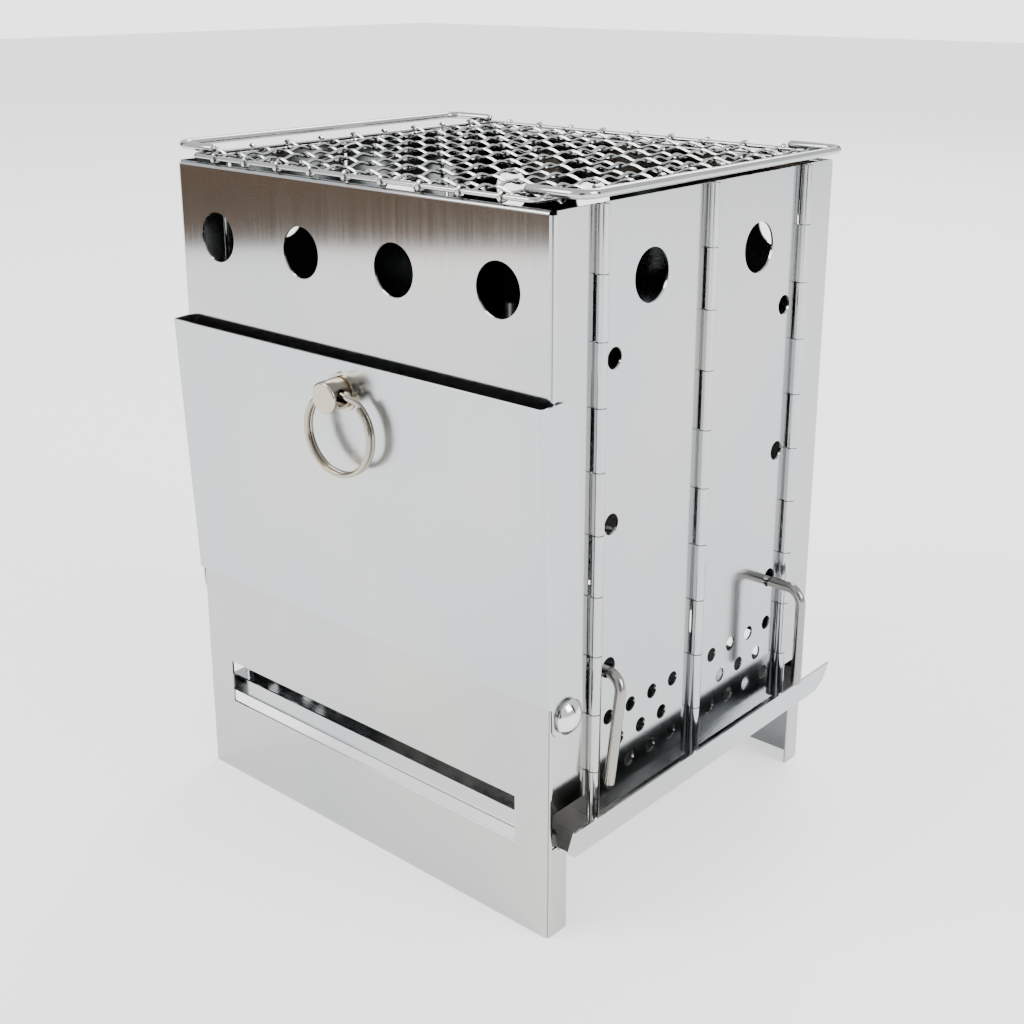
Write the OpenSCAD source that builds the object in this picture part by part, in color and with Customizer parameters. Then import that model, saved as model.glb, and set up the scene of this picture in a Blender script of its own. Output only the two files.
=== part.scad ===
// Folding box grill in stainless sheet, used to light and burn charcoal.
// Millimetres. +Z is up and +Y points to the back. The origin is on the ground, under the middle of the body.
// The door stands a little ajar, and every loose piece is in its place of use.

/* [Body] */
// Width of the body over its two sides
body_w = 182; // [150:1:230]
// Depth of the body from the front face to the back face
body_d = 164; // [150:1:210]
// Height of the body
body_h = 250; // [210:1:310]
// Thickness of the body sheet
sheet = 0.8; // [0.5:0.1:1.2]
// Outer radius of the two bends of the front and back panels
panel_bend = 1.8; // [1.4:0.1:3]
// Radius of the rolled top edge of the front and back panels
hem_r = 1.3; // [0.9:0.1:1.6]
// Gap between a hinge axis and the front or back face
flange_w = 22; // [20:0.5:28]
// Width of the narrow flange below the tray
foot_flange_w = 9.7; // [8:0.1:14]

/* [Air holes] */
// Radius of the large holes near the rim
vent_r = 9.2; // [6:0.1:11]
// Distance of the large holes below the rim
vent_drop = 26.5; // [20:0.5:36]
// Distance of the outermost large holes from the sides, on the front and back
vent_inset = 22; // [14:1:28]
// Radius of the small holes low in the sides
small_vent_r = 2.8; // [1.5:0.1:3.4]
// Distance of the last small hole of a row from the outer hinge axis
small_vent_inset = 9.6; // [7:0.1:14]
// Height of the top row of small holes
small_vent_z = 72; // [66:0.5:76]
// Distance between the rows of small holes
small_vent_rise = 10.7; // [9:0.1:12]

/* [Slot and door opening] */
// Distance of the slot's ends from the sides
slot_inset = 15; // [8:1:40]
// Bottom edge of the slot
slot_z0 = 32; // [26:0.5:36]
// Top edge of the slot
slot_z1 = 49.7; // [44:0.1:60]
// Distance of the fuel opening's upright edges from the sides
fuel_inset = 31; // [20:1:50]
// Bottom edge of the fuel opening
fuel_z0 = 93; // [90:0.5:100]
// Distance of the fuel opening's top edge below the door's top edge
fuel_drop = 6; // [3:0.5:7]
// Corner radius of the fuel opening
fuel_r = 5; // [2:0.5:10]

/* [Hinges] */
// Outer radius of the rolled hinge knuckles
knuckle_r = 2.2; // [1.8:0.1:3]
// Radius of the hinge pins
pin_r = 1.2; // [0.8:0.05:1.3]
// Radial clearance between a pin and its knuckles
pin_gap = 0.08; // [0.03:0.01:0.1]
// Length by which the lowest knuckle is shorter than the others
last_knuckle_cut = 2; // [0:0.5:6]
// Gap between two neighbouring knuckles
knuckle_gap = 0.4; // [0.2:0.1:0.8]
// Number of knuckles on a hinge
knuckle_n = 10; // [8:1:12]
// Gap between a leaf's edge and the hinge barrel beside it
leaf_gap = 0.5; // [0.3:0.1:1]

/* [Fuel door] */
// Thickness of the door sheet
door_t = 0.8; // [0.5:0.1:1.2]
// Gap between the closed door and the front face
door_gap = 0.3; // [0.2:0.1:0.6]
// Gap between a door flange and the side of the body
door_side_gap = 0.4; // [0.2:0.1:0.8]
// Outer bend radius of the door
door_bend = 2; // [1.4:0.1:3]
// Height of the door pivots above the ground
pivot_z = 82.7; // [76:0.1:86]
// Distance of the door pivots behind the front face
pivot_back = 7.8; // [7.5:0.1:9]
// Bottom edge of the door above the pivots
door_foot = 5.3; // [4:0.1:6]
// Distance of the door's top edge below the rim
door_top_drop = 59; // [40:1:64]
// Distance of the flange's back edge behind the pivots
door_flange_back = 8; // [7:0.1:9]
// Radius of the flange's upper back corner
door_flange_r = 8; // [4:0.5:10]
// Angle of the ajar door from closed
door_ajar = 2.7; // [0:0.1:5]

/* [Door fittings] */
// Radius of the pivot screws
screw_r = 2; // [1.5:0.1:2.5]
// Radial clearance of the screws in the sheets
screw_gap = 0.08; // [0.03:0.01:0.1]
// Radius of the domed screw heads
head_r = 6.4; // [5:0.1:7]
// Height of the domed screw heads
head_h = 3.2; // [2:0.1:4]
// Thickness of the washers under the heads
washer_t = 0.8; // [0.5:0.1:1.2]
// Radius of the door knob
knob_r = 5.7; // [5:0.1:7]
// Length of the door knob in front of its collar
knob_l = 8.2; // [8:0.1:11]
// Radius of the collar behind the knob
collar_r = 7; // [6:0.1:9]
// Thickness of the collar behind the knob
collar_t = 1; // [0.6:0.1:2]
// Distance of the knob's axis below the door's top edge
knob_drop = 11; // [10.5:0.1:14]
// Sideways place of the knob on the door
knob_x = 2.6; // [-10:0.1:10]
// Radius of the cross hole in the knob
cross_hole_r = 3.1; // [3.1:0.05:3.4]
// Middle radius of the pull ring
ring_r = 14.6; // [12:0.1:18]
// Radius of the ring's wire
ring_wire_r = 0.95; // [0.8:0.05:1]
// Sideways lean of the ring, which lies askew in the cross hole
ring_lean = 12; // [0:1:12]
// Turn of the ring about the vertical
ring_turn = 4; // [0:1:4]
// Height of the ring's highest point over the middle of the cross hole
ring_rise = 1.25; // [1:0.05:1.3]

/* [Rods and fire grate] */
// Radius of the support rods
rod_r = 2; // [1.5:0.1:2.4]
// Radius of the rod holes in the sides
rod_hole_r = 3.75; // [3.4:0.05:4.5]
// Distance of the rod holes from the outer hinge axes
rod_inset = 9; // [8:0.5:14]
// Height of the lowest row of rod holes
rod_low = 91; // [89:0.5:94]
// Height of the middle row of rod holes
rod_mid = 143; // [110:0.5:148]
// Distance of the top row of rod holes below the rim
rod_top_drop = 50.5; // [46:0.5:52]
// Bend radius of a rod's middle line
rod_bend = 6; // [4:0.5:8]
// Length of a rod beyond the width of the body
rod_over = 17; // [17:1:24]
// Length of the handle of a rod
rod_leg = 40; // [30:1:41]
// Distance of the front rod's handle outside the body
front_rod_out = 6; // [6:0.5:12]
// Distance of the rear rod's handle outside the body
rear_rod_out = 14.6; // [6:0.1:16]
// Swing of the front rod's handle towards the front
front_rod_swing = 9; // [0:1:15]
// Distance of the fire grate's ends from the outside of the sides
grate_side_gap = 11; // [11:0.5:20]
// Distance of the fire grate's rims from the outside of the front and back
grate_face_gap = 9; // [6:0.5:16]
// Thickness of the fire grate
grate_t = 1.2; // [0.6:0.1:2]
// Radius of the holes in the fire grate
grate_hole_r = 4; // [2.5:0.1:4.8]
// Spacing of the holes in the fire grate
grate_pitch = 15; // [13:0.5:20]

/* [Ash tray] */
// Height of the tray's underside above the ground
tray_z = 34; // [30:0.5:36]
// Thickness of the tray sheet
tray_t = 0.8; // [0.5:0.1:1]
// Height of the tray's front and back walls
tray_wall = 7; // [4:0.1:8]
// Reach of the tray beyond the right side of the body
tray_out = 8.5; // [6:0.5:12]
// Height of the handle lip along its slope
lip_h = 12.4; // [10:0.1:12.8]
// Outward lean of the handle lip
lip_lean = 14; // [5:1:25]
// Half width of the handle lip beyond the tray
lip_wing = 4; // [2:0.5:6]

/* [Grill net] */
// Radius of the net's frame wire
frame_wire_r = 0.9; // [0.7:0.05:1.2]
// Radius of the mesh wires
mesh_wire_r = 0.6; // [0.4:0.05:0.7]
// Spacing of the mesh wires
mesh_pitch = 17.4; // [14:0.1:22]
// Radius of the handle wires
handle_wire_r = 1.6; // [1.2:0.1:2]
// Corner radius of the handle wires
handle_bend = 6; // [4:0.5:8]
// Length of the legs of the handle wires
handle_leg = 23; // [16:1:26]
// Distance of the left handle outside the frame
left_handle_out = 15.5; // [12:0.5:18]
// Distance of the right handle outside the frame
right_handle_out = 14; // [12:0.5:18]
// Distance of the handles' legs from the front and back of the frame
handle_inset = 5; // [3:0.5:8]

/* [Hidden] */
$fn = 64;

// Gap between two faces of different pieces that lie together
face_gap = 0.1;
// Gap between two pieces that are screwed together
tight_gap = 0.05;
// Extra length of a cutting shape beyond the faces it cuts
over = 1;

// Hinges
hinge_y = body_d / 2 - flange_w;
hinge_x = body_w / 2 - sheet + knuckle_r;
bore_r = pin_r + pin_gap;
leaf_edge = knuckle_r + leaf_gap;
leaf_z0 = tray_z + tray_t + 2.2;
knuckle_l = (body_h - leaf_z0 + last_knuckle_cut) / knuckle_n;

// Holes
vent_pitch = (body_w - 2 * vent_inset) / 3;
small_vent_pitch = (hinge_y - small_vent_inset) / 4;
slot_half_w = body_w / 2 - slot_inset;
fuel_half_w = body_w / 2 - fuel_inset;
fuel_z1 = body_h - door_top_drop - fuel_drop;

// Notch that lets the tray pass through a flange
notch_y = body_d / 2 - panel_bend - face_gap;
notch_z1 = tray_z + 13.6;

// Tray
tray_half_d = notch_y - 1.8;
tray_x0 = -body_w / 2 - 1;
tray_x1 = body_w / 2 + tray_out;
tray_floor_z = tray_z + face_gap;

// Door, measured from its pivot line
pivot_y = -body_d / 2 + pivot_back;
door_face_y = -pivot_back - door_gap - door_t;
door_w = body_w + 2 * (door_side_gap + door_t);
door_top = body_h - door_top_drop - pivot_z;
washer_x = door_w / 2 + tight_gap;
head_x = washer_x + washer_t + tight_gap;
screw_hole_r = screw_r + screw_gap;
thread_gap = 0.03;
nut_h = 3.2;
nut_r = 4;
nut_x = body_w / 2 - sheet - tight_gap - nut_h;
screw_end = 1;

// Knob and its screw, measured from the pivot line
knob_z = door_top - knob_drop;
knob_y = door_face_y - collar_t;
knob_edge = 0.6;
cross_y = knob_y - knob_l * 0.48;
knob_screw_r = 1.5;
knob_screw_head_r = 3.6;
knob_screw_head_h = 1.6;
knob_screw_l = 0.5;

// Pull ring: two turns side by side
turn_offset = ring_wire_r * 0.92;

// Support rods lie low in their holes
rod_room = 0.3;
rod_z = rod_low - rod_hole_r + rod_r + rod_room;
rod_y = hinge_y - rod_inset;
rod_l = body_w + rod_over;
grate_z = rod_z + rod_r + face_gap;
grate_w = body_w - 2 * grate_side_gap;
grate_d = body_d - 2 * grate_face_gap;

// Net: its frame wire lies over the rolled edges, a mesh wire's thickness above them for the hooked wire ends
weld = 0.05;
frame_z = body_h + 2 * mesh_wire_r + frame_wire_r + face_gap;
frame_half_w = body_w / 2 - 7.5;
frame_half_d = body_d / 2 - hem_r;
frame_r = 4;
wire_y_z = frame_z - mesh_wire_r - weld / 2;
wire_x_z = frame_z + mesh_wire_r + weld / 2;
handle_z = frame_z + frame_wire_r + handle_wire_r - weld;
handle_y = frame_half_d - handle_inset;
mesh_nx = floor((frame_half_w - frame_r) / mesh_pitch);
mesh_ny = floor((frame_half_d - frame_r) / mesh_pitch);

// Lifts a child drawn on the door, whose pivot line is the X axis, to its ajar place
module on_door() {
    translate([0, pivot_y, pivot_z])
        rotate([door_ajar, 0, 0])
            children();
}

// Plan outline with two rounded corners on the side towards -Y
module rounded_plan(w, d, r) {
    translate([-w / 2, r])
        square([w, d - r]);
    translate([-w / 2 + r, 0])
        square([w - 2 * r, r]);
    for (side = [-1, 1])
        translate([side * (w / 2 - r), r])
            circle(r);
}

// Plan of a sheet bent into a channel that opens towards +Y, with its outer face at y = 0
module channel_plan(w, d, r, t) {
    difference() {
        rounded_plan(w, d, r);
        translate([0, t])
            rounded_plan(w - 2 * t, d, r - t);
    }
}

// Rectangle with rounded corners about the middle of the X axis
module rounded_window(half_w, z0, z1, r) {
    for (sx = [-1, 1], z = [z0 + r, z1 - r])
        translate([sx * (half_w - r), z])
            circle(r);
    translate([-half_w + r, z0])
        square([2 * (half_w - r), z1 - z0]);
    translate([-half_w, z0 + r])
        square([2 * half_w, z1 - z0 - 2 * r]);
}

// Vertical span of knuckle k, counted down from the rim: [low, high]
function knuckle_span(k) = [
    k == knuckle_n - 1 ? leaf_z0 : body_h - (k + 1) * knuckle_l + knuckle_gap / 2,
    k == 0 ? body_h : body_h - k * knuckle_l - knuckle_gap / 2
];

// Every second knuckle of a hinge at the origin, with tabs back to a sheet on its `side`
// The sheet lies against the barrel's inner side, which faces -X
module knuckles(first, side) {
    for (k = [first : 2 : knuckle_n - 1]) {
        span = knuckle_span(k);
        translate([0, 0, span[0]])
            linear_extrude(span[1] - span[0])
                difference() {
                    union() {
                        circle(knuckle_r);
                        translate([-knuckle_r, side > 0 ? 0 : -leaf_edge - over])
                            square([sheet, leaf_edge + over]);
                    }
                    circle(bore_r);
                }
    }
}

// Plain pin through all the knuckles of a hinge
module hinge_pin(x, y) {
    translate([x, y, leaf_z0 + face_gap])
        cylinder(r = pin_r, h = body_h - leaf_z0 - 2 * face_gap);
}

// Front or back panel without its own openings: a channel with feet, tray notches and half of two hinges
module panel_blank() {
    difference() {
        union() {
            translate([0, -body_d / 2, 0])
                linear_extrude(body_h - hem_r)
                    channel_plan(body_w, flange_w - leaf_edge, panel_bend, sheet);
            translate([-body_w / 2 + panel_bend, -body_d / 2 + hem_r, body_h - hem_r])
                rotate([0, 90, 0])
                    cylinder(r = hem_r, h = body_w - 2 * panel_bend);
            for (side = [-1, 1])
                translate([side * (body_w - sheet) / 2 - sheet / 2, -body_d / 2 + panel_bend, body_h - 2 * hem_r])
                    cube([sheet, flange_w - leaf_edge - panel_bend, 2 * hem_r]);
            for (side = [-1, 1])
                translate([side * hinge_x, -hinge_y, 0])
                    mirror([side < 0 ? 1 : 0, 0, 0])
                        knuckles(0, -1);
        }
        for (side = [-1, 1])
            translate([side * body_w / 2 - knuckle_r, 0, 0]) {
                translate([0, -notch_y, tray_z])
                    cube([2 * knuckle_r, notch_y, notch_z1 - tray_z]);
                translate([0, -body_d / 2 + foot_flange_w, -over])
                    cube([2 * knuckle_r, body_d, tray_z + 2 * over]);
            }
        for (i = [-1.5 : 1 : 1.5])
            translate([i * vent_pitch, -body_d / 2, body_h - vent_drop])
                rotate([90, 0, 0])
                    cylinder(r = vent_r, h = 4 * sheet, center = true);
        translate([-slot_half_w, -body_d / 2 - over, slot_z0])
            cube([2 * slot_half_w, sheet + 2 * over, slot_z1 - slot_z0]);
    }
}

module front_panel() {
    color("lightsteelblue")
        difference() {
            panel_blank();
            translate([0, -body_d / 2 + sheet + over, 0])
                rotate([90, 0, 0])
                    linear_extrude(sheet + 2 * over)
                        rounded_window(fuel_half_w, fuel_z0, fuel_z1, fuel_r);
            translate([0, pivot_y, pivot_z])
                rotate([0, 90, 0])
                    cylinder(r = screw_hole_r, h = 2 * body_w, center = true);
        }
}

module back_panel() {
    color("silver")
        rotate([0, 0, 180])
            panel_blank();
}

// Side leaf on the right, between the front hinge at y = -hinge_y and the middle hinge at y = 0
// Its knuckles at the middle hinge start with number `middle_first`
module side_leaf(middle_first) {
    difference() {
        union() {
            translate([body_w / 2 - sheet, -hinge_y + leaf_edge, leaf_z0])
                cube([sheet, hinge_y - 2 * leaf_edge, body_h - leaf_z0]);
            translate([hinge_x, -hinge_y, 0])
                knuckles(1, 1);
            translate([hinge_x, 0, 0])
                knuckles(middle_first, -1);
        }
        translate([body_w / 2, 0, 0])
            rotate([0, 90, 0]) {
                translate([-body_h + vent_drop, -hinge_y / 2 - 2, 0])
                    cylinder(r = vent_r, h = 4 * sheet, center = true);
                for (z = [rod_low, rod_mid, body_h - rod_top_drop])
                    translate([-z, -rod_y, 0])
                        cylinder(r = rod_hole_r, h = 4 * sheet, center = true);
                for (row = [0 : 2], i = [1 : 4 - row % 2])
                    translate([-small_vent_z + row * small_vent_rise, -(i + row % 2 / 2) * small_vent_pitch, 0])
                        cylinder(r = small_vent_r, h = 4 * sheet, center = true);
            }
    }
}

module right_front_leaf() {
    color("lightsteelblue")
        side_leaf(0);
}

module right_rear_leaf() {
    color("lightsteelblue")
        mirror([0, 1, 0])
            side_leaf(1);
}

module left_front_leaf() {
    color("silver")
        mirror([1, 0, 0])
            side_leaf(0);
}

module left_rear_leaf() {
    color("silver")
        mirror([1, 0, 0])
            mirror([0, 1, 0])
                side_leaf(1);
}

// Side outline of the door's flanges: a round tongue at the pivot and a rounded upper back corner
module door_side() {
    difference() {
        union() {
            circle(door_flange_back);
            translate([-door_flange_back, 0])
                square([2 * door_flange_back, door_foot]);
        }
        translate([-2 * door_flange_back, -2 * door_flange_back])
            square([2 * door_flange_back + door_face_y + door_bend, 2 * door_flange_back + door_foot]);
    }
    translate([door_face_y, door_foot])
        square([door_flange_back - door_face_y, door_top - door_foot - door_flange_r]);
    translate([door_face_y, door_top - door_flange_r])
        square([door_flange_back - door_face_y - door_flange_r, door_flange_r]);
    translate([door_flange_back - door_flange_r, door_top - door_flange_r])
        circle(door_flange_r);
}

module fuel_door() {
    color("gainsboro")
        on_door()
            difference() {
                intersection() {
                    translate([0, door_face_y, -door_flange_back])
                        linear_extrude(door_top + door_flange_back)
                            channel_plan(door_w, door_flange_back - door_face_y, door_bend, door_t);
                    translate([-body_w, 0, 0])
                        rotate([90, 0, 90])
                            linear_extrude(2 * body_w)
                                door_side();
                }
                rotate([0, 90, 0])
                    cylinder(r = screw_hole_r, h = 2 * body_w, center = true);
                translate([knob_x, door_face_y, knob_z])
                    rotate([90, 0, 0])
                        cylinder(r = knob_screw_r + screw_gap, h = 4 * door_t, center = true);
            }
}

// Draws its child at each end of the pivot line, pointing outwards along +Z
module at_pivots() {
    for (side = [-1, 1])
        translate([0, pivot_y, pivot_z])
            rotate([0, side * 90, 0])
                children();
}

module pivot_screws() {
    head_sphere = (head_r * head_r + head_h * head_h) / (2 * head_h);
    color("whitesmoke")
        at_pivots() {
            translate([0, 0, nut_x - screw_end])
                cylinder(r = screw_r, h = head_x - nut_x + screw_end + weld);
            intersection() {
                translate([0, 0, head_x])
                    cylinder(r = head_r, h = head_h);
                translate([0, 0, head_x + head_h - head_sphere])
                    sphere(head_sphere);
            }
        }
}

module pivot_washers() {
    color("silver")
        at_pivots()
            translate([0, 0, washer_x])
                difference() {
                    cylinder(r = head_r - 1, h = washer_t);
                    translate([0, 0, -over])
                        cylinder(r = screw_hole_r, h = washer_t + 2 * over);
                }
}

module pivot_nuts() {
    color("silver")
        at_pivots()
            translate([0, 0, nut_x])
                difference() {
                    cylinder(r = nut_r, h = nut_h, $fn = 6);
                    translate([0, 0, -over])
                        cylinder(r = screw_r + thread_gap, h = nut_h + 2 * over);
                }
}

module door_knob() {
    color("whitesmoke")
        on_door()
            difference() {
                translate([knob_x, knob_y, knob_z])
                    rotate([90, 0, 0])
                        rotate_extrude()
                            polygon([
                                [0, 0], [knob_r, 0], [knob_r, knob_l - knob_edge],
                                [knob_r - knob_edge, knob_l], [0, knob_l]
                            ]);
                translate([knob_x, cross_y, knob_z])
                    rotate([0, 90, 0])
                        cylinder(r = cross_hole_r, h = 4 * knob_r, center = true);
                translate([knob_x, knob_y + over, knob_z])
                    rotate([90, 0, 0])
                        cylinder(r = knob_screw_r + thread_gap, h = knob_screw_l + over + face_gap);
            }
}

module knob_collar() {
    color("silver")
        on_door()
            translate([knob_x, door_face_y - tight_gap, knob_z])
                rotate([90, 0, 0])
                    difference() {
                        cylinder(r = collar_r, h = collar_t - 2 * tight_gap);
                        translate([0, 0, -over])
                            cylinder(r = knob_screw_r + screw_gap, h = collar_t + 2 * over);
                    }
}

// Short screw that holds the knob from inside the door
module knob_screw() {
    color("silver")
        on_door()
            translate([knob_x, door_face_y + door_t + tight_gap, knob_z])
                rotate([90, 0, 0]) {
                    cylinder(r = knob_screw_r, h = door_t + collar_t + knob_screw_l);
                    translate([0, 0, -knob_screw_head_h])
                        cylinder(r = knob_screw_head_r, h = knob_screw_head_h);
                }
}

// Split ring as two turns of wire side by side, joined where they touch
module pull_ring() {
    hole_y = cross_y * cos(door_ajar) - knob_z * sin(door_ajar);
    hole_z = cross_y * sin(door_ajar) + knob_z * cos(door_ajar);
    color("whitesmoke")
        translate([knob_x, pivot_y + hole_y, pivot_z + hole_z])
            rotate([0, -ring_lean, ring_turn])
                translate([0, 0, ring_rise - ring_r])
                    rotate([90, 0, 0])
                        rotate_extrude()
                            for (side = [-1, 1])
                                translate([ring_r, side * turn_offset])
                                    circle(ring_wire_r);
}

// Round rod along +X from its tip to a bend, with a handle that hangs down
module support_rod(out, swing) {
    leg_x = body_w / 2 + out;
    translate([0, 0, rod_z])
        rotate([-swing, 0, 0]) {
            translate([leg_x - rod_l, 0, 0])
                rotate([0, 90, 0])
                    cylinder(r = rod_r, h = rod_l - rod_bend);
            translate([leg_x - rod_bend, 0, -rod_bend])
                rotate([90, 0, 0])
                    rotate_extrude(angle = 90)
                        translate([rod_bend, 0])
                            circle(rod_r);
            translate([leg_x, 0, -rod_leg])
                cylinder(r = rod_r, h = rod_leg - rod_bend);
        }
}

module front_rod() {
    color("gainsboro")
        translate([0, -rod_y, 0])
            support_rod(front_rod_out, front_rod_swing);
}

module rear_rod() {
    color("gainsboro")
        translate([0, rod_y, 0])
            support_rod(rear_rod_out, 0);
}

module fire_grate() {
    nx = floor((grate_w / 2 - 2 * grate_hole_r) / grate_pitch);
    ny = floor((grate_d / 2 - 2 * grate_hole_r) / grate_pitch);
    color("gray")
        difference() {
            translate([-grate_w / 2, -grate_d / 2, grate_z])
                cube([grate_w, grate_d, grate_t]);
            for (i = [-nx : nx], j = [-ny : ny])
                translate([i * grate_pitch, j * grate_pitch, grate_z - over])
                    cylinder(r = grate_hole_r, h = grate_t + 2 * over, $fn = 32);
        }
}

// Side view of the handle lip, from the end of the tray's floor up
module lip_side() {
    reach = lip_h * tan(lip_lean);
    polygon([
        [-2 * tray_t, 0], [0, 0], [reach, lip_h], [reach - tray_t, lip_h],
        [-tray_t, tray_t], [-2 * tray_t, tray_t]
    ]);
}

// Front view of the handle lip, with its lower corners cut off
module lip_outline() {
    lip_top = tray_half_d + lip_wing;
    polygon([
        [-tray_half_d, 0], [tray_half_d, 0], [lip_top, lip_wing], [lip_top, lip_h],
        [-lip_top, lip_h], [-lip_top, lip_wing]
    ]);
}

module ash_tray() {
    floor_l = tray_x1 - tray_t - tray_x0;
    color("lightsteelblue")
        translate([0, 0, tray_floor_z]) {
            translate([tray_x0, -tray_half_d, 0])
                cube([floor_l, 2 * tray_half_d, tray_t]);
            for (side = [-1, 1])
                translate([tray_x0, side * (tray_half_d - tray_t / 2) - tray_t / 2, 0])
                    cube([body_w / 2 - tray_x0, tray_t, tray_wall]);
            intersection() {
                translate([tray_x1, body_d, 0])
                    rotate([90, 0, 0])
                        linear_extrude(2 * body_d)
                            lip_side();
                translate([tray_x0, 0, 0])
                    rotate([90, 0, 90])
                        linear_extrude(body_w * 2)
                            lip_outline();
            }
        }
}

// Straight round wire between two points that differ in one coordinate
module wire_x(x0, x1, y, z, r) {
    translate([x0, y, z])
        rotate([0, 90, 0])
            cylinder(r = r, h = x1 - x0);
}

module wire_y(x, y0, y1, z, r) {
    translate([x, y0, z])
        rotate([-90, 0, 0])
            cylinder(r = r, h = y1 - y0);
}

// Quarter bend of a wire about a centre, from `start` degrees on
module wire_bend(x, y, z, bend, r, start) {
    translate([x, y, z])
        rotate([0, 0, start])
            rotate_extrude(angle = 90)
                translate([bend, 0])
                    circle(r);
}

module net_frame() {
    ax = frame_half_w - frame_r;
    ay = frame_half_d - frame_r;
    color("whitesmoke")
        for (side = [-1, 1]) {
            wire_x(-ax, ax, side * frame_half_d, frame_z, frame_wire_r);
            wire_y(side * frame_half_w, -ay, ay, frame_z, frame_wire_r);
            wire_bend(side * ax, ay, frame_z, frame_r, frame_wire_r, side > 0 ? 0 : 90);
            wire_bend(side * ax, -ay, frame_z, frame_r, frame_wire_r, side > 0 ? 270 : 180);
        }
}

module net_wires_x() {
    color("whitesmoke")
        for (i = [-mesh_ny : mesh_ny])
            wire_x(-frame_half_w, frame_half_w, i * mesh_pitch, wire_x_z, mesh_wire_r);
}

module net_wires_y() {
    color("whitesmoke")
        for (i = [-mesh_nx : mesh_nx])
            wire_y(i * mesh_pitch, -frame_half_d, frame_half_d, wire_y_z, mesh_wire_r);
}

// Handle wire with its long side at +X and two legs towards -X
module net_handle(out) {
    side_x = frame_half_w + out;
    for (side = [-1, 1]) {
        wire_x(side_x - handle_leg, side_x - handle_bend, side * handle_y, handle_z, handle_wire_r);
        wire_bend(side_x - handle_bend, side * (handle_y - handle_bend), handle_z, handle_bend, handle_wire_r,
            side > 0 ? 0 : 270);
    }
    wire_y(side_x, -handle_y + handle_bend, handle_y - handle_bend, handle_z, handle_wire_r);
}

module net_handle_left() {
    color("whitesmoke")
        mirror([1, 0, 0])
            net_handle(left_handle_out);
}

module net_handle_right() {
    color("whitesmoke")
        net_handle(right_handle_out);
}

front_panel();
back_panel();
right_front_leaf();
right_rear_leaf();
left_front_leaf();
left_rear_leaf();
hinge_pin(hinge_x, -hinge_y);  // pin_front_right
hinge_pin(hinge_x, 0);  // pin_middle_right
hinge_pin(hinge_x, hinge_y);  // pin_back_right
hinge_pin(-hinge_x, -hinge_y);  // pin_front_left
hinge_pin(-hinge_x, 0);  // pin_middle_left
hinge_pin(-hinge_x, hinge_y);  // pin_back_left
fuel_door();
pivot_screws();
pivot_washers();
pivot_nuts();
door_knob();
knob_collar();
knob_screw();
pull_ring();
front_rod();
rear_rod();
fire_grate();
ash_tray();
net_frame();
net_wires_x();
net_wires_y();
net_handle_left();
net_handle_right();
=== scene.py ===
# %% [markdown]
# This lesson dresses a folding sheet-steel fire box, which is made to light charcoal. The
# panels, hinge leaves, door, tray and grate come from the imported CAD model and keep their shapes.
# The round and bright parts that the eye goes to are modelled here: the crimped wire net, the split
# ring, the knob, the dome-head screws, the wire handles and the two support rods.

# %% Load the frame and note the size of the CAD model
import math
import bpy
from mathutils import Matrix, Vector


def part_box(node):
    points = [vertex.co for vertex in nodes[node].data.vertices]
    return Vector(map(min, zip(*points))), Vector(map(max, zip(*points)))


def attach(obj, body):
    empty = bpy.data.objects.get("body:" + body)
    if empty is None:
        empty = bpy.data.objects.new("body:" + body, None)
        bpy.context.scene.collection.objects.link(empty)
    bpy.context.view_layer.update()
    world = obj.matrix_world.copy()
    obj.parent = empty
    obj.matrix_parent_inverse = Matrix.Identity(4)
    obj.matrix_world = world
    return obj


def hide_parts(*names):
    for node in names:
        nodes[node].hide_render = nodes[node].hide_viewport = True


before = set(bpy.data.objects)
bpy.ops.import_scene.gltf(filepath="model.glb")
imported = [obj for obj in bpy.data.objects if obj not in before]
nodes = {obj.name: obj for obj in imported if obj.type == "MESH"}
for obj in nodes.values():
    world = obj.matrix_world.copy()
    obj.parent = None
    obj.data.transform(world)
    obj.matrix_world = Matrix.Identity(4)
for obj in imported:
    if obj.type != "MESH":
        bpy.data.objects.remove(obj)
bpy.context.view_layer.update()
MM = 0.001

# %% [markdown]
# A steel box on a table is looked at from a little above. The camera stands a good half metre away,
# level with the rim, and a small vertical shift frames the feet and keeps the upright edges calm.

# %% Camera
CAMERA_PLACE = (0.36262, -0.40921, 0.31848)
CAMERA_TILT = math.radians(90 - 16.876)
CAMERA_TURN = math.radians(41.338)

bpy.ops.object.select_all(action="DESELECT")
bpy.ops.object.camera_add(location=CAMERA_PLACE, rotation=(CAMERA_TILT, 0, CAMERA_TURN))
camera = bpy.context.object
camera.name = "camera"
camera.data.lens = 51.29
camera.data.sensor_width = 36
camera.data.shift_y = -0.10
camera.data.clip_start = 0.01
bpy.context.scene.camera = camera
print("camera lens in mm:", round(camera.data.lens, 2))

# %% [markdown]
# Polished steel shows what stands round it, so the room matters more than the lamps. The floor is
# nearly white and the world is a soft pale grey. One low card, seen only in reflections, puts a
# darker warm band across the upper part of the front sheet, as a bench edge does in a workshop.
# Four dark curtains, seen only in reflections too, draw the dark lines along the barrels and wires.

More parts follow.
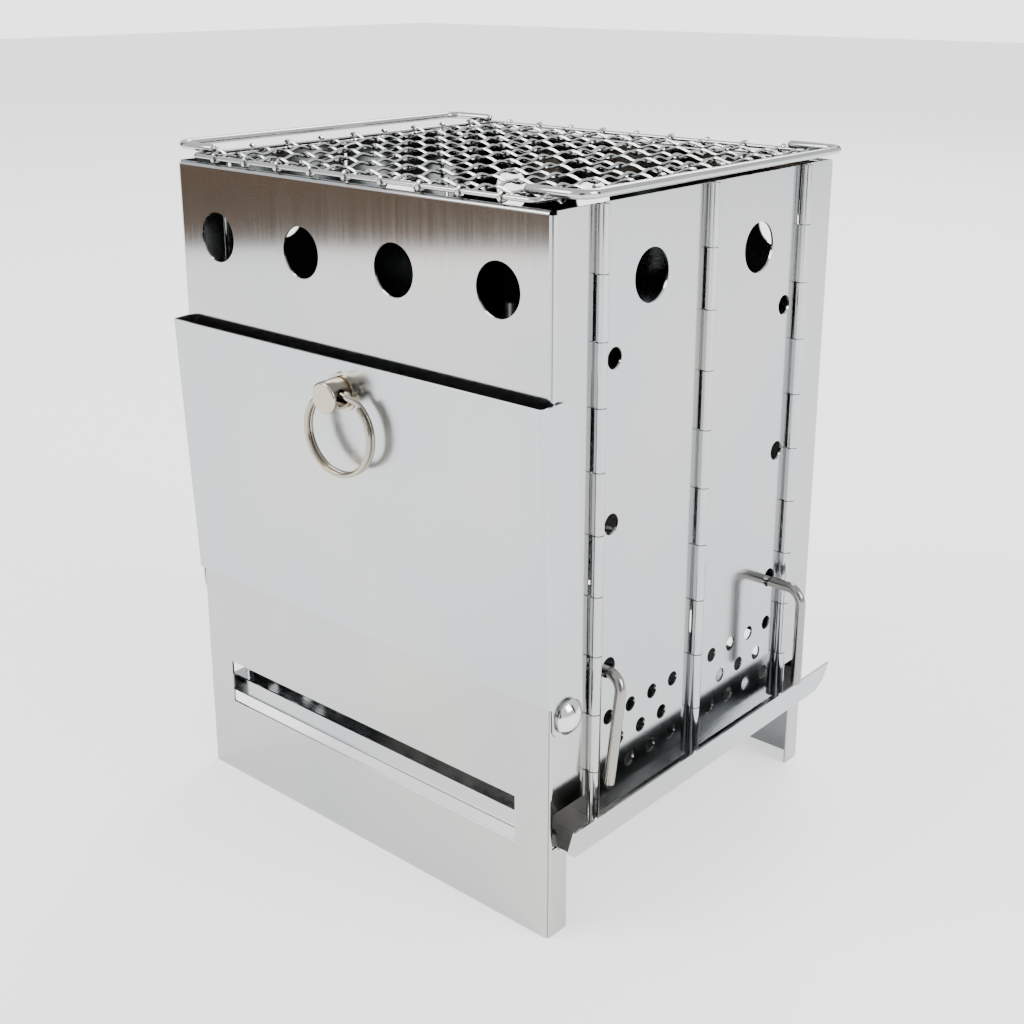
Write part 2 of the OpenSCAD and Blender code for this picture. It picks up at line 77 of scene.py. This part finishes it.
# %% Floor
def plain_paint(name, colour, rough):
    """A matt paint with a faint mottle, for the floor and the reflected card."""
    paint = bpy.data.materials.new(name)
    paint.use_nodes = True
    tree = paint.node_tree
    shader = tree.nodes["Principled BSDF"]
    shader.inputs["Roughness"].default_value = rough
    place = tree.nodes.new("ShaderNodeTexCoord")
    mottle = tree.nodes.new("ShaderNodeTexNoise")
    mottle.inputs["Scale"].default_value = 14
    tint = tree.nodes.new("ShaderNodeMix")
    tint.data_type = "RGBA"
    tint.inputs["A"].default_value = (*[c * 0.98 for c in colour], 1)
    tint.inputs["B"].default_value = (*colour, 1)
    tree.links.new(place.outputs["Object"], mottle.inputs["Vector"])
    tree.links.new(mottle.outputs["Fac"], tint.inputs["Factor"])
    tree.links.new(tint.outputs["Result"], shader.inputs["Base Color"])
    return paint


bpy.ops.object.select_all(action="DESELECT")
bpy.ops.mesh.primitive_plane_add(size=12, location=(0, 0, 0))
floor = bpy.context.object
floor.name = "floor"
pale_floor = plain_paint("pale floor", (0.92, 0.92, 0.92), 0.7)
pale_floor.node_tree.nodes["Principled BSDF"].inputs["Emission Color"].default_value = (1, 1, 1, 1)
pale_floor.node_tree.nodes["Principled BSDF"].inputs["Emission Strength"].default_value = 0.9
floor.data.materials.append(pale_floor)
print("floor across in m:", floor.dimensions.x)

# %% Cards that only reflections see
def reflected_card(name, place, turn, across, tall, paint):
    """An upright card that lamps and the camera pass through."""
    bpy.ops.object.select_all(action="DESELECT")
    bpy.ops.mesh.primitive_plane_add(size=1, location=place,
                                     rotation=(math.radians(90), 0, math.radians(turn)))
    card = bpy.context.object
    card.name = name
    card.scale = (across, tall, 1)
    bpy.ops.object.transform_apply(location=False, rotation=False, scale=True)
    card.data.materials.append(paint)
    card.visible_camera = False
    card.visible_shadow = False
    card.visible_diffuse = False
    return card


reflected_card("bench_card", (-0.50, -0.60, 0.148), -38, 0.66, 0.115,
               plain_paint("brown bench edge", (0.085, 0.052, 0.030), 0.8))
dark_room = plain_paint("dark curtain", (0.03, 0.03, 0.032), 0.9)
reflected_card("curtain_behind_camera", (0.95, -1.05, 0.45), 42, 0.55, 1.3, dark_room)
reflected_card("curtain_right", (1.5, 0.95, 0.50), 122, 0.35, 1.3, dark_room)
reflected_card("curtain_left", (-1.7, -0.45, 0.50), -75, 0.5, 1.3, dark_room)
reflected_card("curtain_back", (-0.3, 1.9, 0.5), 8, 0.6, 1.3, dark_room)

# %% World and lamps
# The world is brighter to the camera than to the steel, so the backdrop is white and the steel grey.
world = bpy.data.worlds.new("soft studio")
world.use_nodes = True
bpy.context.scene.world = world
room = world.node_tree
glow = room.nodes["Background"]
glow.inputs["Color"].default_value = (0.93, 0.95, 1.0, 1)
glow.inputs["Strength"].default_value = 1.25
backdrop = room.nodes.new("ShaderNodeBackground")
backdrop.inputs["Strength"].default_value = 3.6
ray = room.nodes.new("ShaderNodeLightPath")
either = room.nodes.new("ShaderNodeMixShader")
room.links.new(ray.outputs["Is Camera Ray"], either.inputs["Fac"])
room.links.new(glow.outputs["Background"], either.inputs[1])
room.links.new(backdrop.outputs["Background"], either.inputs[2])
room.links.new(either.outputs["Shader"], room.nodes["World Output"].inputs["Surface"])


def soft_lamp(name, place, aim, across, watts):
    """A square area lamp at a place, turned to an aim."""
    bpy.ops.object.select_all(action="DESELECT")
    bpy.ops.object.light_add(type="AREA", location=place)
    lamp = bpy.context.object
    lamp.name = name
    lamp.data.size = across
    lamp.data.energy = watts
    lamp.rotation_euler = (Vector(aim) - Vector(place)).to_track_quat("-Z", "Y").to_euler()
    return lamp


soft_lamp("lamp_front_left", (-0.9, -1.5, 1.3), (0, 0, 0.12), 1.1, 30)
soft_lamp("lamp_right", (1.7, 0.3, 1.1), (0, 0, 0.12), 0.9, 26)
soft_lamp("lamp_back", (-0.5, 1.6, 1.6), (0, 0, 0.15), 1.0, 24)

# %% [markdown]
# Rolled stainless sheet is nearly a mirror. What gives it away is a fine grain along the rolling
# direction, a very slight waviness that bends reflections, and a little change of tone from place to
# place. Each is one noise texture on Object coordinates: a stretched one for the grain, a broad one
# for the waves, a middle one for the tone. A mask by place darkens the inner skins, which face the
# fire, with painted shade: the inside of the box lies in shade, and the darker colour stands in for
# it.

# %% Steel recipe
def add(tree, kind, **values):
    """A shader node with some of its inputs set."""
    node = tree.nodes.new("ShaderNode" + kind)
    for name, value in values.items():
        node.inputs[name.replace("_", " ")].default_value = value
    return node


def noise_on(tree, place, stretch, scale, detail=2.0):
    """Noise on Object coordinates, stretched by a Mapping node."""
    mapping = add(tree, "Mapping", Scale=stretch)
    noise = add(tree, "TexNoise", Scale=scale, Detail=detail)
    tree.links.new(place.outputs["Object"], mapping.inputs["Vector"])
    tree.links.new(mapping.outputs["Vector"], noise.inputs["Vector"])
    return noise


def spread(tree, noise, low, high):
    """Noise from 0.3 to 0.7 spread over low to high."""
    reach = add(tree, "MapRange")
    reach.inputs["From Min"].default_value = 0.3
    reach.inputs["From Max"].default_value = 0.7
    reach.inputs["To Min"].default_value = low
    reach.inputs["To Max"].default_value = high
    tree.links.new(noise.outputs["Fac"], reach.inputs["Value"])
    return reach


def maths(tree, what, a, b):
    """A Math node on two sockets or numbers."""
    node = tree.nodes.new("ShaderNodeMath")
    node.operation = what
    for socket, value in zip(node.inputs, (a, b)):
        if isinstance(value, (int, float)):
            socket.default_value = value
        else:
            tree.links.new(value, socket)
    return node.outputs[0]


COOL = (0.975, 1.0, 1.02)
WARM = (1.02, 1.0, 0.955)


def steel(name, colour, rough, grain=(900, 900, 18), grain_depth=0.04, wave=0.5, wave_size=9,
          rough_spread=0.05, tone=0.07):
    """Polished or satin metal: tone, grain and waves from noise on Object coordinates."""
    metal = bpy.data.materials.new(name)
    metal.use_nodes = True
    tree = metal.node_tree
    shader = tree.nodes["Principled BSDF"]
    shader.inputs["Metallic"].default_value = 1.0
    place = tree.nodes.new("ShaderNodeTexCoord")
    mottle = noise_on(tree, place, (1, 1, 1), 14, 3)
    tint = add(tree, "Mix")
    tint.data_type = "RGBA"
    tint.inputs["A"].default_value = (*[c * (1 - tone) * k for c, k in zip(colour, COOL)], 1)
    tint.inputs["B"].default_value = (*[c * (1 + tone) * k for c, k in zip(colour, WARM)], 1)
    tree.links.new(spread(tree, mottle, 0, 1).outputs["Result"], tint.inputs["Factor"])
    tree.links.new(tint.outputs["Result"], shader.inputs["Base Color"])
    lines = noise_on(tree, place, grain, 1, 1)
    tree.links.new(spread(tree, lines, rough - rough_spread, rough + rough_spread).outputs["Result"],
                   shader.inputs["Roughness"])
    waves = noise_on(tree, place, (1, 1, 1), wave_size, 1)
    swell = add(tree, "Bump", Strength=wave, Distance=0.002)
    fine = add(tree, "Bump", Strength=grain_depth, Distance=0.0002)
    tree.links.new(waves.outputs["Fac"], swell.inputs["Height"])
    tree.links.new(lines.outputs["Fac"], fine.inputs["Height"])
    tree.links.new(swell.outputs["Normal"], fine.inputs["Normal"])
    tree.links.new(fine.outputs["Normal"], shader.inputs["Normal"])
    return metal


def paint_shade_inside(metal, half_w, half_d, share):
    """Painted shade: darkens the base colour of the faces inside an upright box half_w by half_d, the
    skins that face the fire and lie in shade.
    """
    tree = metal.node_tree
    shader = tree.nodes["Principled BSDF"]
    place = tree.nodes["Texture Coordinate"]
    axes = tree.nodes.new("ShaderNodeSeparateXYZ")
    tree.links.new(place.outputs["Object"], axes.inputs["Vector"])
    in_x = maths(tree, "LESS_THAN", maths(tree, "ABSOLUTE", axes.outputs["X"], 0), half_w)
    in_y = maths(tree, "LESS_THAN", maths(tree, "ABSOLUTE", axes.outputs["Y"], 0), half_d)
    inside = maths(tree, "MULTIPLY", in_x, in_y)
    bright = shader.inputs["Base Color"].links[0].from_socket
    # Painted shade: the base colour is multiplied down inside the box, where the inner skins lie in
    # shade.
    painted_shade = tree.nodes.new("ShaderNodeMix")
    painted_shade.data_type = "RGBA"
    painted_shade.blend_type = "MULTIPLY"
    painted_shade.inputs["B"].default_value = (*share, 1)
    tree.links.new(inside, painted_shade.inputs["Factor"])
    tree.links.new(bright, painted_shade.inputs["A"])
    tree.links.new(painted_shade.outputs["Result"], shader.inputs["Base Color"])
    return metal


# %% Finishes of the sheet parts
# Share of the base colour that the painted shade leaves on the inner skins of the body and the leaves.
INSIDE_SHADE_SHARE = (0.40, 0.42, 0.43)
INSIDE_HALF_D = 0.0816
BODY_HALF_W = 0.0906
LEAF_HALF_W = 0.0903
body_steel = steel("rolled body sheet", (0.45, 0.45, 0.445), 0.10, grain_depth=0.008, wave=0.35,
                   wave_size=7, rough_spread=0.012, tone=0.04)
body_sheet = paint_shade_inside(body_steel, BODY_HALF_W, INSIDE_HALF_D, INSIDE_SHADE_SHARE)
leaf_steel = steel("rolled leaf sheet", (0.45, 0.455, 0.46), 0.13, grain_depth=0.008, wave=0.3,
                   rough_spread=0.012, tone=0.03)
leaf_sheet = paint_shade_inside(leaf_steel, LEAF_HALF_W, INSIDE_HALF_D, INSIDE_SHADE_SHARE)
door_sheet = steel("rolled door sheet", (0.47, 0.483, 0.49), 0.23, grain_depth=0.01, wave=0.25,
                   rough_spread=0.02, tone=0.03)
tray_sheet = steel("tray sheet", (0.45, 0.46, 0.47), 0.13, grain=(20, 900, 900), grain_depth=0.01,
                   wave=0.3)
grate_sheet = steel("grate sheet", (0.42, 0.40, 0.38), 0.32, grain=(30, 600, 600), tone=0.18)
pin_wire = steel("hinge pin wire", (0.62, 0.62, 0.62), 0.22, wave=0)
print("sheet finishes:", len([m for m in bpy.data.materials if "sheet" in m.name]))


def dress(metal, *names):
    """Gives CAD nodes a finish in every material slot."""
    for name in names:
        node = nodes[name]
        if not node.data.materials:
            node.data.materials.append(metal)
        for i in range(len(node.data.materials)):
            node.data.materials[i] = metal


dress(body_sheet, "front_panel", "back_panel")
dress(leaf_sheet, "right_front_leaf", "right_rear_leaf", "left_front_leaf", "left_rear_leaf")
dress(door_sheet, "fuel_door")
dress(tray_sheet, "ash_tray")
dress(grate_sheet, "fire_grate")
dress(pin_wire, *[n for n in nodes if n.startswith("pin_")])

# %% Finishes of the wires and small metal parts
net_bright = steel("bright drawn wire", (0.46, 0.46, 0.45), 0.14, grain=(300, 300, 300), wave=0,
                   rough_spread=0.06, tone=0.1)
handle_bright = steel("bright handle wire", (0.46, 0.46, 0.455), 0.12, grain=(60, 900, 900), wave=0.1)
rod_satin = steel("satin rod wire", (0.30, 0.282, 0.26), 0.18, grain=(40, 1200, 1200),
                  grain_depth=0.2, wave=0.1)
screw_polish = steel("polished screw", (0.66, 0.66, 0.65), 0.10, grain=(700, 700, 700), wave=0.15)
knob_plate = steel("plated knob", (0.44, 0.385, 0.31), 0.13, grain=(900, 90, 900), wave=0.15)
ring_plate = steel("plated ring", (0.34, 0.305, 0.25), 0.06, grain=(500, 500, 500), wave=0.1,
                   tone=0.05)
dress(screw_polish, "pivot_washers", "pivot_nuts", "knob_screw")
dress(knob_plate, "knob_collar")
print("finishes in all:", len(bpy.data.materials))

# %% [markdown]
# Every wire of the box is a path with a round section. A path curve is drawn through its points,
# given a bevel for thickness, and converted to a mesh, which keeps the wire exactly as thick along
# its bends. Corners are arcs, so a helper turns corner points into smooth bends, and another rounds
# the cut ends by shrinking the section over the last points.

# %% Helper that bends a line round its corners

def bent_line(corners, bend, steps=7):
    """Points through corners with a round bend at each inner corner."""
    points = [Vector(corners[0])]
    for before, corner, after in zip(corners, corners[1:], corners[2:]):
        before, corner, after = Vector(before), Vector(corner), Vector(after)
        way_in = (before - corner).normalized()
        way_out = (after - corner).normalized()
        half = way_in.angle(way_out) / 2
        run = bend / math.tan(half)
        centre = corner + (way_in + way_out).normalized() * (bend / math.sin(half))
        start = corner + way_in * run - centre
        end = corner + way_out * run - centre
        turn = start.angle(end)
        for i in range(steps + 1):
            share = i / steps
            mix = (start * math.sin((1 - share) * turn) + end * math.sin(share * turn))
            points.append(centre + mix / math.sin(turn))
    points.append(Vector(corners[-1]))
    return points


print("points in one bend:", len(bent_line([(0, 0, 0), (1, 0, 0), (1, 1, 0)], 0.1)) - 2)


# %% Helper that rounds the cut ends
TIP_ANGLES = (0, 30, 55, 75, 87)


def rounded_tips(points, r):
    """Adds points that shrink the section to a round tip at both ends, with the section sizes."""
    sizes = [1.0] * len(points)
    for end, inner in ((0, 1), (-1, -2)):
        tip = points[end].copy()
        back = (points[inner] - tip).normalized()
        extra = [(tip + back * r * (1 - math.sin(a)), math.cos(a))
                 for a in (math.radians(d) for d in TIP_ANGLES)]
        points[end] = extra[0][0]
        for place, size in extra[1:]:
            if end == 0:
                points.insert(0, place)
                sizes.insert(0, size)
            else:
                points.append(place)
                sizes.append(size)
    return points, sizes


print("sections in one tip:", len(TIP_ANGLES))


# %% Helpers that draw and join wires
def wire(name, points, r, tips=False, closed=False, smooth=2):
    """A round wire along points: a path curve with a bevel, made a mesh."""
    points = [Vector(p) for p in points]
    sizes = [1.0] * len(points)
    if tips:
        points, sizes = rounded_tips(points, r)
    bpy.ops.object.select_all(action="DESELECT")
    bpy.ops.curve.primitive_nurbs_path_add(location=(0, 0, 0))
    path = bpy.context.object
    path.name = name
    path.data.splines.clear()
    line = path.data.splines.new("POLY")
    line.points.add(len(points) - 1)
    for point, place, size in zip(line.points, points, sizes):
        point.co = (*place, 1)
        point.radius = size
    line.use_cyclic_u = closed
    path.data.bevel_depth = r
    path.data.bevel_resolution = smooth
    path.data.use_fill_caps = not closed
    bpy.ops.object.convert(target="MESH")
    made = bpy.context.object
    made.name = name
    bpy.ops.object.shade_smooth_by_angle(angle=math.radians(50))
    return made


def joined(name, pieces):
    """Joins pieces into one object."""
    bpy.ops.object.select_all(action="DESELECT")
    for piece in pieces:
        piece.select_set(True)
    bpy.context.view_layer.objects.active = pieces[0]
    bpy.ops.object.join()
    pieces[0].name = name
    return pieces[0]


# %% Helper that gives a piece its finish and its body
def fit_out(piece, metal, body, slot, *stands_for):
    """Finish, body and CAD nodes of a piece."""
    piece.data.materials.clear()
    piece.data.materials.append(metal)
    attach(piece, body)
    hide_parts(*stands_for)
    print(piece.name, "faces:", len(piece.data.polygons))


print("one millimetre in metres:", MM)

# %% [markdown]
# The net is woven from crimped wires. Each wire is pressed into small waves, three to a mesh, so
# that wires that cross lock into each other. At its ends the wire is hooked round the frame wire.
# One wire of each kind is drawn as a wave on a path, and the rest are copies with the wave turned
# over, so that neighbours pass on opposite sides.

# %% Crimped wire path
PITCH = 17.4 * MM
CRIMP = 0.66 * MM
FRAME_R = 0.9 * MM
MESH_R = 0.6 * MM
frame_low, frame_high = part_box("net_frame")
NET_Z = (frame_low.z + frame_high.z) / 2
HALF_W = frame_high.x - FRAME_R
HALF_D = frame_high.y - FRAME_R


def crimped_line(half, side):
    """(along, up) points of a crimped wire with a hook round the frame wire at both ends."""
    ramp = 5.5 * MM
    hook_r = FRAME_R + MESH_R + 0.02 * MM
    steps = 170
    points = []
    for i in range(steps + 1):
        along = -half + 2 * half * i / steps
        up = side * CRIMP * math.cos(3 * math.pi * along / PITCH)
        share = max(0.0, (abs(along) - half + ramp) / ramp)
        ease = share * share * (3 - 2 * share)
        points.append((along, up * (1 - ease) + side * hook_r * ease))
    hook = []
    for i in range(1, 13):
        a = math.radians(90 - i * 20)
        hook.append((half + hook_r * math.cos(a), side * hook_r * math.sin(a)))
    start = [(-along, up) for along, up in reversed(hook)]
    return start + points + hook


def crimped_set(name, half, count, across):
    """All wires one way: along X if across is False, along Y if it is True."""
    wires = []
    for i in range(-count, count + 1):
        side = (-1) ** i * (-1 if across else 1)
        line = crimped_line(half, side)
        if across:
            points = [(i * PITCH, a, NET_Z + u) for a, u in line]
        else:
            points = [(a, i * PITCH, NET_Z + u) for a, u in line]
        wires.append(wire(f"{name}_{i + count}", points, MESH_R, smooth=1))
    return joined(name, wires)


COUNT_X = 4
COUNT_Y = 4
fit_out(crimped_set("net_wires_lengthwise", HALF_W, COUNT_Y, False), net_bright, "net", "net_wire",
        "net_wires_x")
fit_out(crimped_set("net_wires_crosswise", HALF_D, COUNT_X, True), net_bright, "net", "net_wire",
        "net_wires_y")

# %% Frame wire of the net
corner = 4 * MM
loop = []
for cx, cy, start in ((1, 1, 0), (-1, 1, 90), (-1, -1, 180), (1, -1, 270)):
    for step in range(9):
        a = math.radians(start + step * 11.25)
        loop.append((cx * (HALF_W - corner) + corner * math.cos(a),
                     cy * (HALF_D - corner) + corner * math.sin(a), NET_Z))
fit_out(wire("net_rim_wire", loop, FRAME_R, closed=True, smooth=3), net_bright, "net", "net_wire",
        "net_frame")

# %% Net handles with their weld beads
HANDLE_R = 1.6 * MM
for side, node in ((-1, "net_handle_left"), (1, "net_handle_right")):
    low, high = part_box(node)
    outer = (high.x if side > 0 else low.x) - side * HANDLE_R
    inner = low.x if side > 0 else high.x
    half = high.y - HANDLE_R
    up = (low.z + high.z) / 2
    line = bent_line([(inner, -half, up), (outer, -half, up), (outer, half, up), (inner, half, up)],
                     6 * MM)
    parts = [wire(node + "_bar", line, HANDLE_R, tips=True, smooth=4)]
    for y in (-half, half):
        bpy.ops.object.select_all(action="DESELECT")
        bpy.ops.mesh.primitive_uv_sphere_add(segments=16, ring_count=10, radius=1.5 * MM,
                                             location=(side * HALF_W, y, NET_Z + 0.8 * MM))
        bead = bpy.context.object
        bpy.ops.object.mode_set(mode="EDIT")
        bpy.ops.mesh.select_all(action="SELECT")
        bpy.ops.transform.resize(value=(1.0, 1.35, 0.55))
        bpy.ops.object.mode_set(mode="OBJECT")
        bpy.ops.object.transform_apply(location=True, rotation=True, scale=True)
        bpy.ops.object.shade_smooth()
        parts.append(bead)
    fit_out(joined(node + "_wire", parts), handle_bright, "net", "net_handle", node)

# %% [markdown]
# The two support rods are round bars with one end bent down for a handle. Each lies in holes through
# the box. The path runs from the far tip to the bend and down the leg, with rounded tips. The front
# leg hangs a few degrees towards the door.

# %% Support rods
ROD_R = 2.0 * MM
ROD_LEG = 40 * MM
ROD_BEND = 6 * MM
for node, y, swing, body in (("front_rod", -51 * MM, 9, "rod_front"),
                             ("rear_rod", 51 * MM, 0, "rod_rear")):
    low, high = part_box(node)
    up = high.z - ROD_R
    leg_x = high.x - ROD_R
    a = math.radians(swing)
    foot = (leg_x, y - ROD_LEG * math.sin(a), up - ROD_LEG * math.cos(a))
    line = bent_line([(low.x, y, up), (leg_x, y, up), foot], ROD_BEND, steps=12)
    fit_out(wire(node + "_bar", line, ROD_R, tips=True, smooth=6), rod_satin, body, "rods", node)

# %% [markdown]
# A split ring is a flat-sided strip coiled twice. Its turns lie side by side, and near the cut ends
# the strip steps over from one side to the other. A path of nearly two turns carries a section with
# rounded corners, and only the step moves sideways, as on the real ring.

# %% Split ring
RING_R = 14.6 * MM
TURN_APART = 1.86 * MM
STEP = math.radians(26)
START = math.radians(62)
STRIP_WIDE = 0.93 * MM
STRIP_THICK = 0.78 * MM
hole = Vector((2.6, -92.604, 179.240)) * MM

bpy.ops.object.select_all(action="DESELECT")
bpy.ops.curve.primitive_bezier_circle_add(radius=1)
section = bpy.context.object
section.data.splines.clear()
outline = section.data.splines.new("POLY")
outline.points.add(15)
for i, point in enumerate(outline.points):
    a = 2 * math.pi * i / 16
    wide = math.copysign(abs(math.cos(a)) ** 0.6, math.cos(a)) * STRIP_WIDE
    thick = math.copysign(abs(math.sin(a)) ** 0.75, math.sin(a)) * STRIP_THICK
    point.co = (wide, thick, 0, 1)
outline.use_cyclic_u = True

coil = []
TURN_STEPS = 150
for i in range(TURN_STEPS + 1):
    a = (4 * math.pi - STEP) * i / TURN_STEPS
    share = min(1.0, max(0.0, (a - 2 * math.pi + STEP) / STEP))
    ease = share * share * (3 - 2 * share)
    coil.append((RING_R * math.cos(a + START), RING_R * math.sin(a + START),
                 TURN_APART * (ease - 0.5)))
bpy.ops.object.select_all(action="DESELECT")
bpy.ops.curve.primitive_nurbs_path_add(location=(0, 0, 0))
ring_path = bpy.context.object
ring_path.data.splines.clear()
line = ring_path.data.splines.new("POLY")
line.points.add(len(coil) - 1)
for point, place in zip(line.points, coil):
    point.co = (*place, 1)
ring_path.data.twist_mode = "Z_UP"
ring_path.data.bevel_mode = "OBJECT"
ring_path.data.bevel_object = section
ring_path.data.use_fill_caps = True
bpy.ops.object.convert(target="MESH")
ring = bpy.context.object
ring.name = "split_ring"
bpy.data.objects.remove(section)
ring.matrix_world = (Matrix.Translation(hole) @ Matrix.Rotation(math.radians(4), 4, "Z")
                     @ Matrix.Rotation(math.radians(-12), 4, "Y")
                     @ Matrix.Translation((0, 0, 1.25 * MM - RING_R))
                     @ Matrix.Rotation(math.radians(90), 4, "X"))
bpy.ops.object.transform_apply(location=True, rotation=True, scale=True)
bpy.ops.object.shade_smooth_by_angle(angle=math.radians(35))
fit_out(ring, ring_plate, "ring", "ring", "pull_ring")

# %% [markdown]
# The door turns on two dome-head screws. A low dome is the cap of a large sphere, so a sphere is cut
# with bisect and closed, its rim is eased with a bevel, and a plain shank is joined behind it.

# %% Dome-head screws
HEAD_R = 6.4 * MM
HEAD_H = 3.2 * MM
SPHERE_R = (HEAD_R ** 2 + HEAD_H ** 2) / (2 * HEAD_H)
SHANK_R = 2.0 * MM
SHANK_END = 85.95 * MM
screw_low, screw_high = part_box("pivot_screws")
PIVOT_Y = (screw_low.y + screw_high.y) / 2
PIVOT_Z = (screw_low.z + screw_high.z) / 2
screws = []
for side in (-1, 1):
    seat = side * (screw_high.x - HEAD_H)
    bpy.ops.object.select_all(action="DESELECT")
    bpy.ops.mesh.primitive_uv_sphere_add(segments=64, ring_count=48, radius=SPHERE_R,
                                         location=(side * (screw_high.x - SPHERE_R), PIVOT_Y, PIVOT_Z),
                                         rotation=(0, math.radians(90), 0))
    head = bpy.context.object
    bpy.ops.object.transform_apply(location=True, rotation=True, scale=True)
    bpy.ops.object.mode_set(mode="EDIT")
    bpy.ops.mesh.select_all(action="SELECT")
    bpy.ops.mesh.bisect(plane_co=(seat, 0, 0), plane_no=(side, 0, 0), use_fill=True,
                        clear_inner=True)
    bpy.ops.object.mode_set(mode="OBJECT")
    ease = head.modifiers.new("rim", "BEVEL")
    ease.width = 0.35 * MM
    ease.segments = 3
    ease.limit_method = "ANGLE"
    ease.angle_limit = math.radians(35)
    bpy.ops.object.modifier_apply(modifier=ease.name)
    shank_end = side * SHANK_END
    bpy.ops.object.select_all(action="DESELECT")
    bpy.ops.mesh.primitive_cylinder_add(vertices=32, radius=SHANK_R, depth=abs(seat - shank_end),
                                        location=((seat + shank_end) / 2, PIVOT_Y, PIVOT_Z),
                                        rotation=(0, math.radians(90), 0))
    shank = bpy.context.object
    bpy.ops.object.transform_apply(location=True, rotation=True, scale=True)
    tip = shank.modifiers.new("tip", "BEVEL")
    tip.width = 0.4 * MM
    tip.segments = 2
    tip.limit_method = "ANGLE"
    bpy.ops.object.modifier_apply(modifier=tip.name)
    screws += [head, shank]
screw_pair = joined("dome_screws", screws)
bpy.ops.object.shade_smooth_by_angle(angle=math.radians(35))
fit_out(screw_pair, screw_polish, "front", "screws", "pivot_screws")

# %% [markdown]
# The knob is a short turned stud with a cross hole for the ring. It starts as a cylinder, its outer
# edge is bevelled, and a boolean drills the hole.

# %% Knob
KNOB_R = 5.7 * MM
KNOB_L = 8.2 * MM
CROSS_HOLE_R = 3.1 * MM
CROSS_HOLE_PLACE = 0.48
AJAR = math.radians(2.7)
pivot = Vector((0, -74.2, 82.7)) * MM
knob_seat = Vector((2.6, -9.9, 97.3)) * MM


def on_door(piece, place, quarter):
    """Puts a piece made round the Z axis on the door, which stands a little ajar."""
    piece.matrix_world = (Matrix.Translation(pivot) @ Matrix.Rotation(AJAR, 4, "X")
                          @ Matrix.Translation(place) @ quarter)
    bpy.ops.object.select_all(action="DESELECT")
    piece.select_set(True)
    bpy.context.view_layer.objects.active = piece
    bpy.ops.object.transform_apply(location=True, rotation=True, scale=True)


bpy.ops.object.select_all(action="DESELECT")
bpy.ops.mesh.primitive_cylinder_add(vertices=72, radius=KNOB_R, depth=KNOB_L)
knob = bpy.context.object
knob.name = "turned_knob"
on_door(knob, knob_seat + Vector((0, -KNOB_L / 2, 0)), Matrix.Rotation(math.radians(90), 4, "X"))
edge = knob.modifiers.new("edge", "BEVEL")
edge.width = 0.75 * MM
edge.segments = 4
edge.limit_method = "ANGLE"
bpy.ops.object.modifier_apply(modifier=edge.name)
bpy.ops.object.select_all(action="DESELECT")
bpy.ops.mesh.primitive_cylinder_add(vertices=48, radius=CROSS_HOLE_R, depth=30 * MM)
drill = bpy.context.object
on_door(drill, knob_seat + Vector((0, -KNOB_L * CROSS_HOLE_PLACE, 0)),
        Matrix.Rotation(math.radians(90), 4, "Y"))
bpy.ops.object.select_all(action="DESELECT")
knob.select_set(True)
bpy.context.view_layer.objects.active = knob
cut = knob.modifiers.new("cross hole", "BOOLEAN")
cut.object = drill
cut.operation = "DIFFERENCE"
cut.solver = "EXACT"
bpy.ops.object.modifier_apply(modifier=cut.name)
bpy.data.objects.remove(drill)
bpy.ops.object.shade_smooth_by_angle(angle=math.radians(30))
fit_out(knob, knob_plate, "door", "knob", "door_knob")
